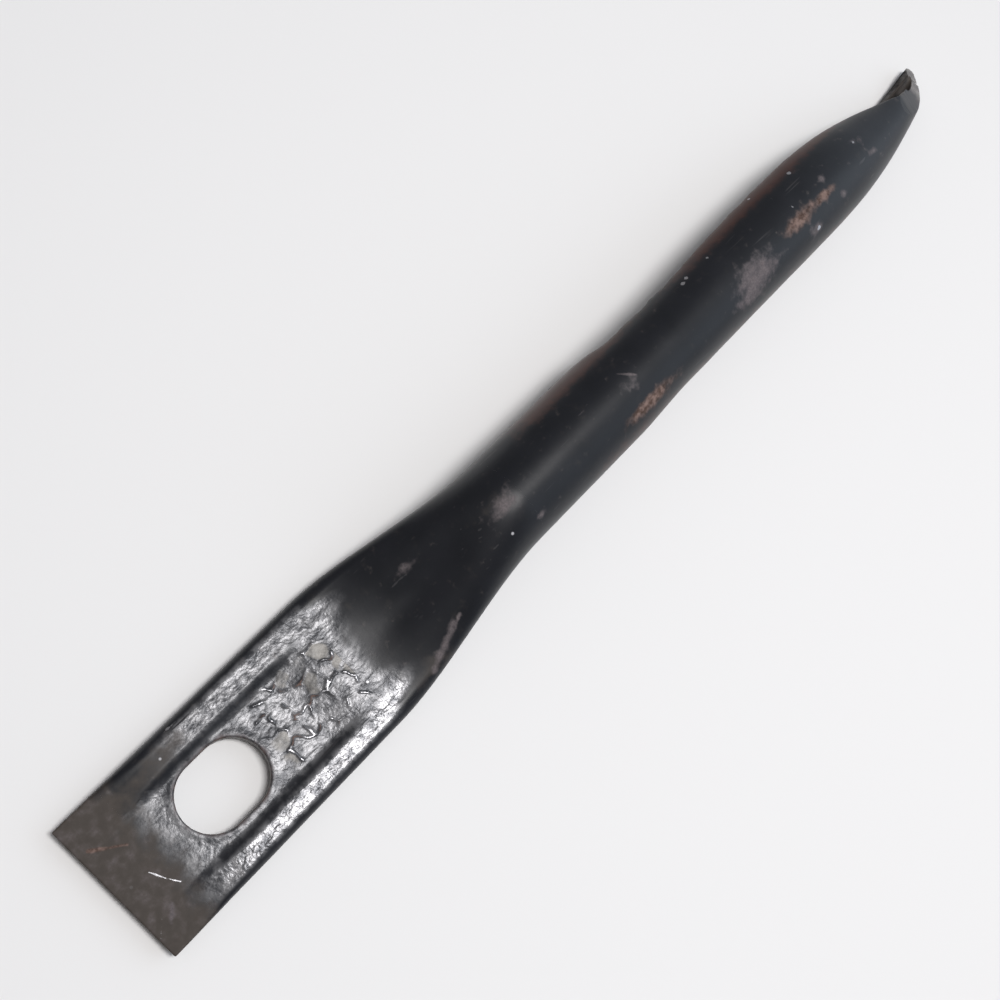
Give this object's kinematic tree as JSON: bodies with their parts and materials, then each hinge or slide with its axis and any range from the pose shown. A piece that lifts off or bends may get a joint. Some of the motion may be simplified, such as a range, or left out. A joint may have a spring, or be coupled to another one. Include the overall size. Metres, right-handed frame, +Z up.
{
  "type": "pry bar",
  "caption": "Flat-bladed pry bar pressed from steel tube, with an oval pull slot, a hollow round shank and a slit, pointed scoop end.",
  "frame": {"origin": "under the middle of the bar's overall length and width, on the surface that it lies on", "axes": "+X along the bar from the blade's square end to the scoop's tip, +Y towards the slit side, +Z up out of the blade's panelled face"},
  "size_m": [0.3269, 0.0396, 0.0254],
  "materials": {
    "black_enamel": "gloss black enamel over steel, crinkled on the blade, worn to rust brown in patches",
    "worn_steel": "thin black paint rubbed down to dark brown steel"
  },
  "bodies": {
    "root": {"pry_edge": "worn_steel", "slotted_blade": "black_enamel", "neck": "black_enamel", "tube_shank": "black_enamel", "scoop_trough": "black_enamel", "scoop_point": "black_enamel"}
  },
  "joints": []
}
